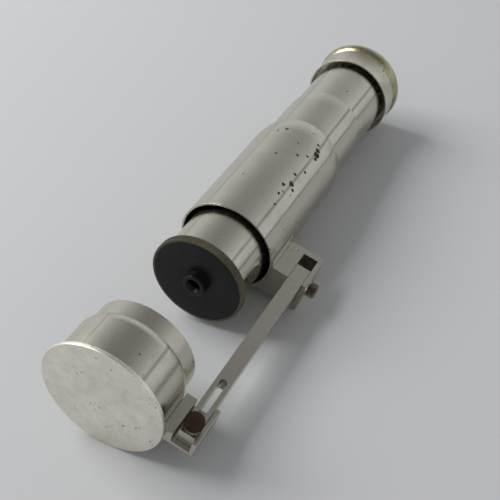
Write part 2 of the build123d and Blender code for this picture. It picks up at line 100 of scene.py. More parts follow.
class TelescopeShapes(bpy.types.PropertyGroup):
    """Sizes of the turned and filed details that the frame leaves plain."""
    sleeve_wall: length("Sleeve wall", "Thickness of the sleeve's rim", 0.6 * MM)
    shoulder_start: length("Shoulder start", "From the sleeve's mouth to its shoulder", 44.3 * MM)
    shoulder_length: length("Shoulder length", "Length of the sleeve's rounded shoulder", 7.0 * MM)
    shoulder_step: length("Shoulder step", "Square step at the shoulder's narrow end", 0.5 * MM)
    guide_radius: length("Guide radius", "Outside of the sleeve's narrow section", 13.5 * MM)
    nose_length: length("Nose length", "Length of the rounded nose on the sleeve", 6.0 * MM)
    nose_radius: length("Nose radius", "Outside of the nose at its tip", 13.17 * MM)
    tube_wall: length("Tube wall", "Thickness of the main tube", 0.6 * MM)
    recess_radius: length("Recess radius", "Mouth of the objective ring, round the tube", 14.25 * MM)
    recess_depth: length("Recess depth", "Depth of that mouth", 5.34 * MM)
    lip_radius: length("Lip radius", "Outside of the ring at its two edges", 14.75 * MM)
    waist_radius: length("Waist radius", "Outside of the ring between its edges", 14.5 * MM)
    band_length: length("Band length", "Length of the ring's hollow band", 6.74 * MM)
    groove_radius: length("Groove radius", "Bottom of the ring's groove", 13.9 * MM)
    groove_width: length("Groove width", "Width of the ring's groove", 1.5 * MM)
    bead_length: length("Bead length", "Length of the ring's half-round bead", 4.4 * MM)
    bead_root: length("Bead root", "Radius where the bead starts", 14.3 * MM)
    front_radius: length("Front radius", "Outside of the ring's front rim", 14.0 * MM)
    front_bore: length("Front bore", "Inside of the ring's front rim", 13.3 * MM)
    front_lip: length("Front lip", "Depth of the ledge over the lens cell", 0.8 * MM)
    lip_bore: length("Lip bore", "Inside of that ledge", 12.4 * MM)
    knurl_depth: length("Knurl depth", "Depth of the rim's fine knurl", 0.16 * MM)
    screw_knurl: length("Screw knurl depth", "Depth of the coarse knurl on the screws", 0.26 * MM)
    knurl_teeth: IntProperty(name="Rim teeth", description="Teeth round the eyepiece rim",
                             default=112, min=12)
    screw_teeth: IntProperty(name="Screw teeth", description="Teeth round a screw head", default=22, min=8)
    running_gap: length("Running gap", "Clearance between parts that slide or turn", 0.05 * MM)
    spigot_wall: length("Spigot wall", "Wall of the rim's spigot inside the tube", 1.2 * MM)
    dish: length("Dish", "Hollow of the black face", 0.45 * MM)
    boss_neck: length("Boss neck", "Radius of the boss where it passes the face", 2.5 * MM)
    eye_hole: length("Eye hole", "Radius of the hole to look through", 1.6 * MM)
    eye_flare: length("Eye flare", "Radius of that hole at its mouth", 2.3 * MM)
    drum_curve: length("Drum shoulder", "Length of the drum's rounded shoulder", 2.8 * MM)
    collar_wall: length("Collar wall", "Thickness of the foot's collar", 0.45 * MM)
    pivot_head: length("Pivot screw head", "Height of the pivot screw's head", 2.7 * MM)
    foot_head: length("Foot screw head", "Height of the foot screw's head", 2.85 * MM)
    edge: length("Edge", "How far turned edges are rounded", 0.12 * MM)
    filed_edge: length("Filed edge", "How far the arm's and blocks' edges are rounded", 0.16 * MM)


class TelescopeFinishes(bpy.types.PropertyGroup):
    """Colours and surface qualities of the finishes."""
    nickel: colour("Nickel", "Bright nickel plate", (0.55, 0.53, 0.45))
    nickel_dull: colour("Dull nickel", "Hazy nickel plate", (0.47, 0.445, 0.355))
    # Paler than the other nickel: partly the matt plate's own tone, partly a painted reflection of the bright
    # table in front of the disc.
    disc_nickel_and_reflection: colour("Disc nickel", "Matt plate on the foot's disc", (0.86, 0.83, 0.73))
    tarnish: colour("Tarnish", "Dark spots and grime", (0.030, 0.028, 0.014))
    bare_brass: colour("Bare brass", "Brass where the plate has worn off", (0.36, 0.33, 0.19))
    dark_brass: colour("Dark brass", "Brown brass of the foot screw", (0.075, 0.040, 0.026))
    screw_brass: colour("Screw brass", "Worn plate on the pivot screw", (0.24, 0.20, 0.14))
    rim_brass: colour("Rim brass", "Tarnished brass of the eyepiece rim", (0.17, 0.155, 0.10))
    enamel: colour("Enamel", "Black face of the eyepiece", (0.006, 0.007, 0.006))
    lining: colour("Lining", "Black inside of the sleeve and foot", (0.012, 0.011, 0.009))
    polish: factor("Polish", "Roughness of bright plate", 0.20)
    haze: factor("Haze", "Roughness of dull plate", 0.42)


class TelescopeStage(bpy.types.PropertyGroup):
    """The floor, the lamps and the camera."""
    floor: colour("Floor", "Pale table top", (0.60, 0.605, 0.61))
    overhead: colour("Overhead", "Dim light from straight above", (0.20, 0.20, 0.205))
    room: colour("Room", "Light from the walls all round", (0.70, 0.71, 0.73))
    key: FloatProperty(name="Key lamp", description="Power of the large lamp", default=9.5, min=0,
                       unit="POWER")
    key_size: length("Key size", "Side of the large lamp", 0.7)
    lens: FloatProperty(name="Lens", description="Focal length on a 36 mm sensor", default=68.04, min=1,
                        unit="CAMERA")
    camera_place: FloatVectorProperty(name="Camera", description="Where the camera stands", size=3,
                                      default=(0.10231, -0.28997, 0.17985), subtype="TRANSLATION")
    camera_pitch: FloatProperty(name="Pitch", description="How far the camera looks down",
                                default=math.radians(40.71), subtype="ANGLE")
    camera_yaw: FloatProperty(name="Yaw", description="How far the camera turns from the axis",
                              default=math.radians(27.09), subtype="ANGLE")


# ---------------------------------------------------------------- turned pieces

class Profile:
    """The outline of a turned piece, as rings of (radius, place along the axis, normal)."""

    def __init__(self):
        self.corners = []

    def to(self, radius, along, rounding=0.0):
        """Adds a corner, rounded by that much."""
        self.corners.append((Vector((radius, along)), rounding))
        return self

    def arc(self, radius, along, bulge, steps=14):
        """Adds an arc from the last corner; a positive bulge swells outwards."""
        start = self.corners[-1][0]
        end = Vector((radius, along))
        chord = end - start
        half = chord.length / 2
        swell = outward_normal(chord) * math.copysign(1, bulge)
        reach = (half * half + bulge * bulge) / (2 * abs(bulge))
        centre = (start + end) / 2 - swell * (reach - abs(bulge))
        widest = math.asin(min(1, half / reach))
        for step in range(1, steps + 1):
            angle = widest * (2 * step / steps - 1)
            point = centre + swell * reach * math.cos(angle) + chord.normalized() * reach * math.sin(angle)
            self.corners.append((point, 0.0))
        return self

    def shoulder(self, radius, along):
        """Adds an arc that leaves the last corner level with the axis and turns in to a corner."""
        start = self.corners[-1][0]
        turn = math.atan2(start.x - radius, along - start.y)
        half = math.hypot(start.x - radius, along - start.y) / 2
        return self.arc(radius, along, half * math.tan(turn / 2))

    def rings(self, smooth_below=math.radians(24), steps=4):
        """The rings to turn: rounded corners become arcs, sharp ones are split."""
        places = [place for place, _ in self.corners]
        count = len(places)
        rings = []
        for index, (place, rounding) in enumerate(self.corners):
            way_in, way_out = place - places[index - 1], places[(index + 1) % count] - place
            first, last = outward_normal(way_in), outward_normal(way_out)
            bend = first.angle(last)
            room = min(rounding, 0.45 * way_in.length, 0.45 * way_out.length)
            if bend < smooth_below:
                rings.append((place, (first + last).normalized()))
            elif room > 0:
                rings.extend(rounded_corner(place, way_in.normalized(), way_out.normalized(),
                                            first, last, room, steps))
            else:
                rings.append((place, first))
                rings.append((place, last))
        return rings


def outward_normal(way):
    """The side of a piece whose outline runs along that way."""
    return Vector((way.y, -way.x)).normalized()


def rounded_corner(place, way_in, way_out, first, last, room, steps):
    """The rings of one rounded corner."""
    start, end = place - way_in * room, place + way_out * room
    rings = []
    for step in range(steps + 1):
        part = step / steps
        point = start * (1 - part) ** 2 + place * 2 * part * (1 - part) + end * part ** 2
        rings.append((point, (first * (1 - part) + last * part).normalized()))
    return rings


def turned_piece(name, profile, body, centre=(0, 0, 0), axis=ALONG, steps=256, grip=None):
    """Turns a profile about an axis. grip gives (teeth, depth, start, end) of a knurled stretch."""
    centre = Vector(centre)
    side = axis.orthogonal().normalized()
    other = axis.cross(side)
    rings = profile.rings()
    verts, normals = [], []
    for point, normal in rings:
        for step in range(steps):
            angle = 2 * math.pi * step / steps
            radial = side * math.cos(angle) + other * math.sin(angle)
            across = other * math.cos(angle) - side * math.sin(angle)
            radius, lean = point.x, 0.0
            if grip and grip[2] <= point.y <= grip[3]:
                wave = grip[0] * angle
                radius -= grip[1] * (0.5 - 0.5 * math.cos(wave)) ** 1.5 * normal.x
                lean = 0.75 * grip[1] * grip[0] * math.sin(wave) / max(point.x, 1e-6) * normal.x
            verts.append(centre + axis * point.y + radial * radius)
            normals.append((radial * normal.x + axis * normal.y + across * lean).normalized())
    faces = []
    for row in range(len(rings)):
        here, there = row * steps, (row + 1) % len(rings) * steps
        if (verts[here] - verts[there]).length < 1e-9:
            continue
        for step in range(steps):
            following = (step + 1) % steps
            faces.append((here + step, here + following, there + following, there + step))
    return mesh_piece(name, verts, faces, body, normals)


def mesh_piece(name, verts, faces, body, normals=None):
    """A mesh that rides on a body, with its own normals where they are given."""
    mesh = bpy.data.meshes.new(name)
    mesh.from_pydata([tuple(v) for v in verts], [], faces)
    mesh.shade_smooth()
    if normals:
        mesh.normals_split_custom_set_from_vertices([tuple(n) for n in normals])
    mesh.validate(clean_customdata=False)
    piece = bpy.data.objects.new(name, mesh)
    bpy.context.scene.collection.objects.link(piece)
    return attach(piece, body)


def filed_piece(name, node, body, width):
    """A copy of a frame node with its edges filed round."""
    piece = frame["nodes"][node].copy()
    piece.data = piece.data.copy()
    piece.name = name
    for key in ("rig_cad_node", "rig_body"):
        del piece[key]
    piece.parent = None
    bpy.context.scene.collection.objects.link(piece)
    weld = piece.modifiers.new("Weld", "WELD")
    weld.merge_threshold = 0.002 * MM
    flats = piece.modifiers.new("Flats", "DECIMATE")
    flats.decimate_type = "DISSOLVE"
    flats.angle_limit = math.radians(1.5)
    bevel = piece.modifiers.new("Filed edges", "BEVEL")
    bevel.width = width
    bevel.segments = 3
    bevel.limit_method = "ANGLE"
    bevel.angle_limit = math.radians(40)
    bevel.use_clamp_overlap = True
    even = piece.modifiers.new("Even shading", "WEIGHTED_NORMAL")
    even.keep_sharp = True
    clear_normals(piece)
    graph = bpy.context.evaluated_depsgraph_get()
    finished = bpy.data.meshes.new_from_object(piece.evaluated_get(graph), depsgraph=graph)
    piece.modifiers.clear()
    piece.data = finished
    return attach(piece, body)


def clear_normals(piece):
    """Drops the normals that came with a copied node, so that new edges shade by their shape."""
    if piece.data.has_custom_normals:
        with bpy.context.temp_override(object=piece, active_object=piece, selected_objects=[piece]):
            bpy.ops.mesh.customdata_custom_splitnormals_clear()
    piece.data.shade_smooth()


# ---------------------------------------------------------------- finishes

class Finish:
    """A node material under construction, with short names for the nodes that it uses."""

    def __init__(self, name):
        self.material = bpy.data.materials.new(name)
        self.material.use_nodes = True
        self.tree = self.material.node_tree
        self.shader = self.tree.nodes["Principled BSDF"]
        coords = self.tree.nodes.new("ShaderNodeTexCoord")
        self.place = self.scaled(coords.outputs["Object"], (1 / MM, 1 / MM, 1 / MM))

    def node(self, kind, inputs=None, **settings):
        """Adds a node, sets its settings, and links or sets its inputs."""
        node = self.tree.nodes.new(kind)
        for key, value in settings.items():
            setattr(node, key, value)
        for key, value in (inputs or {}).items():
            if isinstance(value, bpy.types.NodeSocket):
                self.tree.links.new(value, node.inputs[key])
            else:
                node.inputs[key].default_value = value
        return node

    def scaled(self, vector, scale):
        """The same place measured in other units along each axis."""
        return self.node("ShaderNodeMapping", {"Vector": vector, "Scale": scale}).outputs[0]

    def noise(self, size, detail=3.0, stretch=(1, 1, 1), seed=0.0):
        """Soft noise whose blobs are about that many millimetres across."""
        place = self.node("ShaderNodeMapping", {"Vector": self.place, "Location": (seed, seed, seed),
                                                "Scale": [1 / (size * s) for s in stretch]}).outputs[0]
        cloud = self.node("ShaderNodeTexNoise", {"Vector": place, "Scale": 1.0, "Detail": detail})
        return cloud.outputs[0]

    def ramp(self, value, low, high):
        """0 below low, 1 above high and a straight rise between them."""
        node = self.node("ShaderNodeMapRange", {"Value": value, "From Min": low, "From Max": high})
        return node.outputs["Result"]

    def scale(self, value, low, high):
        """A 0 to 1 value spread between two others."""
        node = self.node("ShaderNodeMapRange", {"Value": value, "To Min": low, "To Max": high})
        return node.outputs["Result"]

    def maths(self, operation, a, b):
        """One sum on two values."""
        return self.node("ShaderNodeMath", {0: a, 1: b}, operation=operation).outputs[0]

    def mix(self, share, first, second):
        """The first colour, turned into the second by that share."""
        node = self.node("ShaderNodeMix", data_type="RGBA")
        for socket, value in ((node.inputs[0], share), (node.inputs[6], first), (node.inputs[7], second)):
            if isinstance(value, bpy.types.NodeSocket):
                self.tree.links.new(value, socket)
            elif socket == node.inputs[0]:
                socket.default_value = value
            else:
                socket.default_value = (*value, 1)
        return node.outputs[2]

    def pits(self, size, share, seed=0.0):
        """Small scattered pits: a share of the cells of a pattern, each with a dot in its middle."""
        place = self.node("ShaderNodeMapping", {"Vector": self.place, "Location": (seed, seed, seed),
                                                "Scale": [1 / size] * 3}).outputs[0]
        cells = self.node("ShaderNodeTexVoronoi", {"Vector": place, "Scale": 1.0})
        dot = self.ramp(cells.outputs["Distance"], 0.28, 0.16)
        chosen = self.node("ShaderNodeSeparateColor", {"Color": cells.outputs["Color"]}).outputs[0]
        return self.maths("MULTIPLY", dot, self.ramp(chosen, 1 - share, 1 - share + 0.02))

    def spot(self, place, radius, ragged):
        """A ragged spot about a place, as a 0 to 1 mask."""
        away = self.node("ShaderNodeVectorMath", {0: self.place, 1: place}, operation="DISTANCE")
        gap = away.outputs["Value"]
        return self.ramp(self.maths("ADD", gap, ragged), radius * 1.12, radius * 0.88)

    def streaks(self, bands):
        """Painted reflections: dim lines along a tube that stand in for dark parts of the room mirrored in
        the plate, from (degrees round it, half width in degrees, strength).
        """
        parts = self.node("ShaderNodeSeparateXYZ", {0: self.place})
        angle = self.maths("ARCTAN2", parts.outputs[2], parts.outputs[0])
        fade = self.scale(self.noise(1.5, 4.0, (1, 9, 1), 17), 0.35, 1.25)
        total = 0.0
        for degrees, width, strength in bands:
            gap = self.maths("ABSOLUTE", self.maths("SUBTRACT", angle, math.radians(degrees)), 0.0)
            band = self.ramp(gap, math.radians(width), math.radians(width * 0.2))
            total = self.maths("MAXIMUM", self.maths("MULTIPLY", band, strength), total)
        return self.maths("MULTIPLY", total, fade)

    def link(self, socket, value):
        """Feeds one of the shader's inputs."""
        self.tree.links.new(value, self.shader.inputs[socket])

    def bump(self, height, distance, strength=1.0):
        """Feeds a height, in millimetres of relief, to the shader's normal."""
        node = self.node("ShaderNodeBump", {"Height": height, "Distance": distance * MM,
                                            "Strength": strength})
        self.link("Normal", node.outputs[0])

    def give(self, *pieces):
        """Puts the finish on pieces."""
        for piece in pieces:
            piece.data.materials.clear()
            piece.data.materials.append(self.material)
            for polygon in piece.data.polygons:
                polygon.material_index = 0


def nickel_finish(name, bright, dull, dark, roughness, haze, wear=0.3, grain=(1, 8, 1),
                  spots=(), streaks=(), seed=0.0):
    """Old nickel plate: hazy patches, fine drawing marks, small pits, a few ragged spots and, where bands are
    given, dim lines of painted reflection along a tube.
    """
    finish = Finish(name)
    finish.shader.inputs["Metallic"].default_value = 1.0
    patches = finish.ramp(finish.noise(7.0, 5.0, seed=seed), 0.40, 0.68)
    smears = finish.ramp(finish.noise(2.4, 4.0, (1, 3, 1), seed + 9), 0.42, 0.75)
    worn = finish.maths("MULTIPLY", finish.maths("ADD", patches, smears), wear)
    lines = finish.noise(0.22, 2.0, grain, seed + 3)
    speckle = finish.maths("MAXIMUM", finish.pits(0.5, 0.16, seed), finish.pits(1.3, 0.06, seed + 5))
    crowd = finish.ramp(finish.noise(9.0, 2.0, seed=seed + 14), 0.40, 0.55)
    marks = finish.maths("MULTIPLY", speckle, crowd)
    ragged = finish.scale(finish.noise(0.7, 3.0, seed=seed + 2), -0.6, 0.6)
    for place, radius in spots:
        marks = finish.maths("MAXIMUM", marks, finish.spot(place, radius, ragged))
    tone = finish.mix(worn, bright, dull)
    # The dim bands along the tube are painted reflections of the dark room, not marks on the plate.
    if streaks:
        tone = finish.mix(finish.streaks(streaks), tone, [0.3 * c for c in dull])
    finish.link("Base Color", finish.mix(marks, tone, dark))
    finish.link("Metallic", finish.scale(marks, 1.0, 0.15))
    base = finish.maths("ADD", finish.scale(lines, roughness * 0.8, roughness * 1.25),
                        finish.maths("MULTIPLY", worn, haze - roughness))
    finish.link("Roughness", finish.maths("ADD", base, finish.maths("MULTIPLY", marks, 0.45)))
    waves = finish.maths("MULTIPLY", finish.noise(5.0, 1.0, (1, 3, 1), seed + 4), 4.0)
    grooves = finish.maths("MULTIPLY", lines, 0.35)
    relief = finish.maths("SUBTRACT", finish.maths("ADD", waves, grooves), marks)
    finish.bump(relief, 0.012)
    return finish


def brass_finish(name, tone, dark, roughness, seed=0.0):
    """Brown tarnished brass with darker blotches."""
    finish = Finish(name)
    finish.shader.inputs["Metallic"].default_value = 0.85
    blotch = finish.scale(finish.noise(0.9, 4.0, seed=seed), 0.1, 0.7)
    finish.link("Base Color", finish.mix(blotch, tone, dark))
    finish.link("Roughness", finish.scale(finish.noise(0.5, 3.0, seed=seed + 2), roughness, roughness + 0.25))
    finish.bump(finish.noise(0.3, 3.0, seed=seed + 4), 0.02)
    return finish


def enamel_finish(name, tone, roughness):
    """Satin black enamel with fine turning marks and dust."""
    finish = Finish(name)
    finish.shader.inputs["Specular IOR Level"].default_value = 0.22
    dust = finish.ramp(finish.noise(0.8, 5.0), 0.55, 0.80)
    finish.link("Base Color", finish.mix(finish.maths("MULTIPLY", dust, 0.25), tone, (0.04, 0.04, 0.036)))
    finish.link("Roughness", finish.scale(finish.noise(2.5, 4.0), roughness, roughness + 0.2))
    finish.bump(finish.noise(0.25, 3.0), 0.01)
    return finish


def glass_finish(name):
    """Clear lens glass with a trace of dust."""
    finish = Finish(name)
    finish.shader.inputs["Transmission Weight"].default_value = 1.0
    finish.shader.inputs["IOR"].default_value = 1.5
    finish.shader.inputs["Base Color"].default_value = (0.95, 0.98, 0.97, 1)
    finish.link("Roughness", finish.scale(finish.ramp(finish.noise(1.5, 5.0), 0.5, 0.8), 0.0, 0.08))
    return finish


# ---------------------------------------------------------------- the telescope's pieces

def shapes():
    return bpy.context.scene.telescope_shapes


def finishes():
    return bpy.context.scene.telescope_finishes


# Spots on the sleeve: degrees round from the arm's side, millimetres from the mouth, radius.
SLEEVE_SPOTS = [
    (45, 40.3, 1.1), (47, 42.2, 0.8), (43, 38.6, 0.6), (51, 44.2, 0.5), (43, 31, 0.5), (51, 26.9, 0.5),
    (47, 22.8, 0.9), (42, 21.5, 0.6), (54, 20.2, 0.6), (52, 16, 0.5), (50, 17.9, 0.4), (48, 11.6, 0.4),
    (63, 34.2, 0.5), (53, 36.7, 0.4), (71, 38.9, 0.3), (95, 43.6, 0.5), (104, 41.9, 0.4), (84, 30, 0.4),
]


def round_tube(angle, along, radius, start):
    """A place on a tube, in millimetres, from degrees round it and the distance from its start."""
    turn = math.radians(angle)
    return (radius / MM * math.cos(turn), start / MM + along, radius / MM * math.sin(turn))


class TELESCOPE_OT_sleeve(bpy.types.Operator):
    """Turn the stepped sleeve with its thin rim, rounded shoulder and nose"""
    bl_idname = "telescope.sleeve"
    bl_label = "Sleeve"

    def execute(self, context):
        size, look = shapes(), finishes()
        low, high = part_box("sleeve")
        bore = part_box("main_tube")[1].x + size.running_gap
        step_r = size.guide_radius + size.shoulder_step
        shoulder_end = low.y + size.shoulder_start + size.shoulder_length
        nose_start = high.y - size.nose_length
        inner = high.x - size.sleeve_wall
        profile = Profile()
        profile.to(inner, low.y, size.edge).to(high.x, low.y, size.edge)
        profile.to(high.x, low.y + size.shoulder_start)
        profile.shoulder(step_r, shoulder_end)
        profile.to(size.guide_radius, shoulder_end + 0.1 * MM)
        profile.to(size.guide_radius, nose_start)
        profile.shoulder(size.nose_radius, high.y)
        profile.to(bore, high.y, size.edge)
        profile.to(bore, shoulder_end).to(inner, low.y + size.shoulder_start)
        piece = turned_piece("sleeve_shell", profile, "sleeve")
        spots = [(round_tube(a, y, high.x, low.y), r) for a, y, r in SLEEVE_SPOTS]
        # The three bands below are painted reflections: dim lines where the plate would mirror the dark room.
        nickel = nickel_finish("sleeve nickel", look.nickel, look.nickel_dull, look.tarnish,
                               look.polish, look.haze, spots=spots,
                               streaks=((47, 2.6, 0.75), (31, 2.0, 0.6), (114, 3.5, 0.3)))
        nickel.give(piece)
        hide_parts("sleeve")
        return {"FINISHED"}


class TELESCOPE_OT_main_tube(bpy.types.Operator):
    """Turn the polished main tube"""
    bl_idname = "telescope.main_tube"
    bl_label = "Main tube"

    def execute(self, context):
        size, look = shapes(), finishes()
        low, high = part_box("main_tube")
        inner = high.x - size.tube_wall
        profile = Profile()
        profile.to(inner, low.y, size.edge).to(high.x, low.y, size.edge)
        profile.to(high.x, high.y, size.edge).to(inner, high.y, size.edge)
        piece = turned_piece("main_tube_shell", profile, "optics")
        # The three bands below are painted reflections: dim lines where the plate would mirror the dark room.
        nickel = nickel_finish("tube nickel", look.nickel, look.nickel_dull, look.tarnish,
                               look.polish * 0.9, look.haze, wear=0.25, seed=20,
                               streaks=((42, 3.0, 0.7), (27, 2.2, 0.55), (118, 3.0, 0.35)))
        nickel.give(piece)
        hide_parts("main_tube")
        return {"FINISHED"}


class TELESCOPE_OT_objective(bpy.types.Operator):
    """Turn the objective ring and finish the cell and lenses behind it"""
    bl_idname = "telescope.objective"
    bl_label = "Objective ring"

    def execute(self, context):
        size, look = shapes(), finishes()
        low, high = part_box("objective_ring")
        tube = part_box("main_tube")[1]
        band_end = low.y + size.band_length
        bead_start = band_end + size.groove_width
        bead_end = bead_start + size.bead_length
        seat = low.y + size.recess_depth
        cell_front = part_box("objective_cell")[1].y
        profile = Profile()
        profile.to(size.recess_radius, low.y, size.edge).to(size.lip_radius, low.y, size.edge)
        profile.arc(size.lip_radius, band_end, size.waist_radius - size.lip_radius)
        profile.to(size.groove_radius, band_end + 0.2 * MM, size.edge)
        profile.to(size.groove_radius, bead_start - 0.2 * MM, size.edge)
        profile.to(size.bead_root, bead_start)
        profile.arc(size.bead_root, bead_end, high.x - size.bead_root, 20)
        profile.to(size.front_radius, bead_end).to(size.front_radius, high.y, size.edge * 2)
        profile.to(size.front_bore, high.y, size.edge).to(size.front_bore, cell_front + size.front_lip)
        profile.to(size.lip_bore, cell_front + size.front_lip).to(size.lip_bore, cell_front)
        profile.to(tube.x, cell_front).to(tube.x, seat).to(size.recess_radius, seat)
        piece = turned_piece("objective_ring_shell", profile, "optics")
        ring_finish(look, low.y + size.band_length).give(piece)
        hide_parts("objective_ring")
        black = enamel_finish("cell lacquer", look.lining, 0.5)
        black.give(*[frame["nodes"][n] for n in ("objective_cell", "objective_retainer", "erector_tube",
                                                 "erector_collars", "erector_stop", "eyepiece_barrel",
                                                 "eyepiece_lens_rings", "field_stop")])
        glass = glass_finish("lens glass")
        glass.give(*[frame["nodes"][n] for n in ("objective_crown_lens", "objective_flint_lens",
                                                 "erector_lenses", "eye_lens", "field_lens")])
        return {"FINISHED"}


def ring_finish(look, band_end):
    """Nickel on the ring, worn through to greenish brass on its bead."""
    finish = nickel_finish("ring nickel", look.nickel, look.nickel_dull, look.tarnish,
                           look.polish, look.haze, wear=0.4, seed=41)
    plated = finish.shader.inputs["Base Color"].links[0].from_socket
    along = finish.node("ShaderNodeSeparateXYZ", {0: finish.place}).outputs[1]
    bead = finish.ramp(along, band_end / MM + 0.8, band_end / MM + 1.6)
    patches = finish.ramp(finish.noise(2.2, 4.0, seed=50), 0.34, 0.56)
    rubbed = finish.maths("MULTIPLY", bead, finish.scale(patches, 0.35, 1.0))
    finish.link("Base Color", finish.mix(rubbed, plated, look.bare_brass))
    return finish


class TELESCOPE_OT_eyepiece(bpy.types.Operator):
    """Turn the knurled eyepiece rim, its dished black face and the eye boss"""
    bl_idname = "telescope.eyepiece"
    bl_label = "Eyepiece head"

    def execute(self, context):
        size, look = shapes(), finishes()
        self.rim(size, look)
        self.face(size, look)
        return {"FINISHED"}

    def rim(self, size, look):
        low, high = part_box("eyepiece_collar")
        face_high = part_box("eyepiece_face")[1]
        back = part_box("main_tube")[0].y - size.running_gap
        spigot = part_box("main_tube")[1].x - size.tube_wall - size.running_gap
        spigot_bore = spigot - size.spigot_wall
        profile = Profile()
        profile.to(face_high.x, low.y, size.edge)
        profile.to(high.x, low.y, 2 * size.edge)
        for share in (0.2, 0.5, 0.8):
            profile.to(high.x, low.y + share * (back - low.y))
        profile.to(high.x, back, 2 * size.edge).to(spigot, back)
        profile.to(spigot, high.y, size.edge).to(spigot_bore, high.y)
        profile.to(spigot_bore, face_high.y).to(face_high.x, face_high.y)
        grip = (size.knurl_teeth, size.knurl_depth, low.y, back)
        piece = turned_piece("eyepiece_rim", profile, "eyepiece", steps=10 * size.knurl_teeth, grip=grip)
        brass_finish("rim brass", look.rim_brass, look.tarnish, 0.28, seed=5).give(piece)
        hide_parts("eyepiece_collar")

    def face(self, size, look):
        low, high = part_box("eyepiece_face")
        boss_low, boss_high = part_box("eye_boss")
        dish = low.y + size.dish
        neck = size.boss_neck
        profile = Profile()
        profile.to(neck, dish).to(boss_high.x, dish)
        profile.arc(high.x - 0.5 * MM, low.y, 0.10 * MM, 24)
        profile.to(high.x, low.y, size.edge).to(high.x, high.y).to(neck, high.y)
        face = turned_piece("eyepiece_plate", profile, "eyepiece")
        enamel_finish("face enamel", look.enamel, 0.34).give(face)
        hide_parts("eyepiece_face")
        profile = Profile()
        profile.to(neck, dish).to(boss_high.x, dish, size.edge)
        profile.to(boss_high.x - 0.18 * MM, dish - 0.7 * MM, size.edge)
        profile.to(boss_high.x - 0.3 * MM, boss_low.y, 3 * size.edge)
        profile.to(size.eye_flare, boss_low.y, size.edge)
        profile.to(size.eye_hole, boss_low.y + 1.15 * MM, size.edge)
        profile.to(size.eye_hole, high.y).to(neck, high.y)
        boss = turned_piece("eye_boss_turned", profile, "eyepiece")
        enamel_finish("boss enamel", look.enamel, 0.26).give(boss)
        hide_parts("eye_boss")


def screw_head(name, node, joint, body, size, height, dome):
    """A knurled screw with a chamfered head, a neck and a shank, on its joint's axis."""
    spec = next(item for item in frame["joints"] if item["name"] == joint)
    axis = Vector(spec["axis"]).normalized()
    centre = Vector(spec["pos_m"])
    places = [(v.co - centre) for v in frame["nodes"][node].data.vertices]
    along = [p.dot(axis) for p in places]
    top, tip = max(along), min(along)
    head = max((p - axis * p.dot(axis)).length for p in places)
    shank = min(max((p - axis * p.dot(axis)).length for p in places if p.dot(axis) < tip + 0.2 * MM), head)
    base = top - height
    profile = Profile()
    profile.to(0.01 * MM, tip).to(shank, tip, size.edge).to(shank, base).to(head - 0.35 * MM, base, size.edge)
    profile.to(head, base + 0.3 * MM, size.edge)
    for share in (0.3, 0.5, 0.7):
        profile.to(head, base + share * height)
    profile.to(head, top - 0.45 * MM, size.edge).to(head - 0.45 * MM, top - dome, size.edge)
    profile.arc(0.01 * MM, top, dome * 0.2, 10)
    grip = (size.screw_teeth, size.screw_knurl, base + 0.2 * MM, top - 0.4 * MM)
    piece = turned_piece(name, profile, body, centre=centre, axis=axis,
                         steps=12 * size.screw_teeth, grip=grip)
    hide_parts(node)
    return piece


class TELESCOPE_OT_clevis(bpy.types.Operator):
    """File the clevis and finish its seat, washer and pivot screw"""
    bl_idname = "telescope.clevis"
    bl_label = "Clevis and pivot screw"

    def execute(self, context):
        size, look = shapes(), finishes()
        block = filed_piece("clevis_block", "clevis", "sleeve", size.filed_edge)
        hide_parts("clevis")
        seat = filed_piece("clevis_seat", "clevis_saddle", "sleeve", size.edge)
        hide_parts("clevis_saddle")
        nickel = nickel_finish("clevis nickel", look.nickel, look.nickel_dull, look.tarnish,
                               look.polish * 1.1, look.haze, wear=0.35, seed=61)
        nickel.give(block, seat, frame["nodes"]["pivot_washer"])
        screw = screw_head("pivot_screw_turned", "pivot_screw", "pivot_screw_turn", "pivot_screw",
                           size, size.pivot_head, 0.25 * MM)
        nickel_finish("pivot screw plate", look.screw_brass, look.dark_brass, look.tarnish,
                      look.polish * 1.3, look.haze, wear=0.5, seed=77).give(screw)
        return {"FINISHED"}


class TELESCOPE_OT_arm(bpy.types.Operator):
    """File the square slotted arm"""
    bl_idname = "telescope.arm"
    bl_label = "Arm"

    def execute(self, context):
        size, look = shapes(), finishes()
        bar = filed_piece("arm_filed", "arm_bar", "arm", size.filed_edge)
        nickel_finish("arm nickel", look.nickel, look.nickel_dull, look.tarnish,
                      look.polish * 1.1, look.haze, wear=0.35, grain=(1, 20, 1), seed=83).give(bar)
        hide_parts("arm_bar")
        return {"FINISHED"}


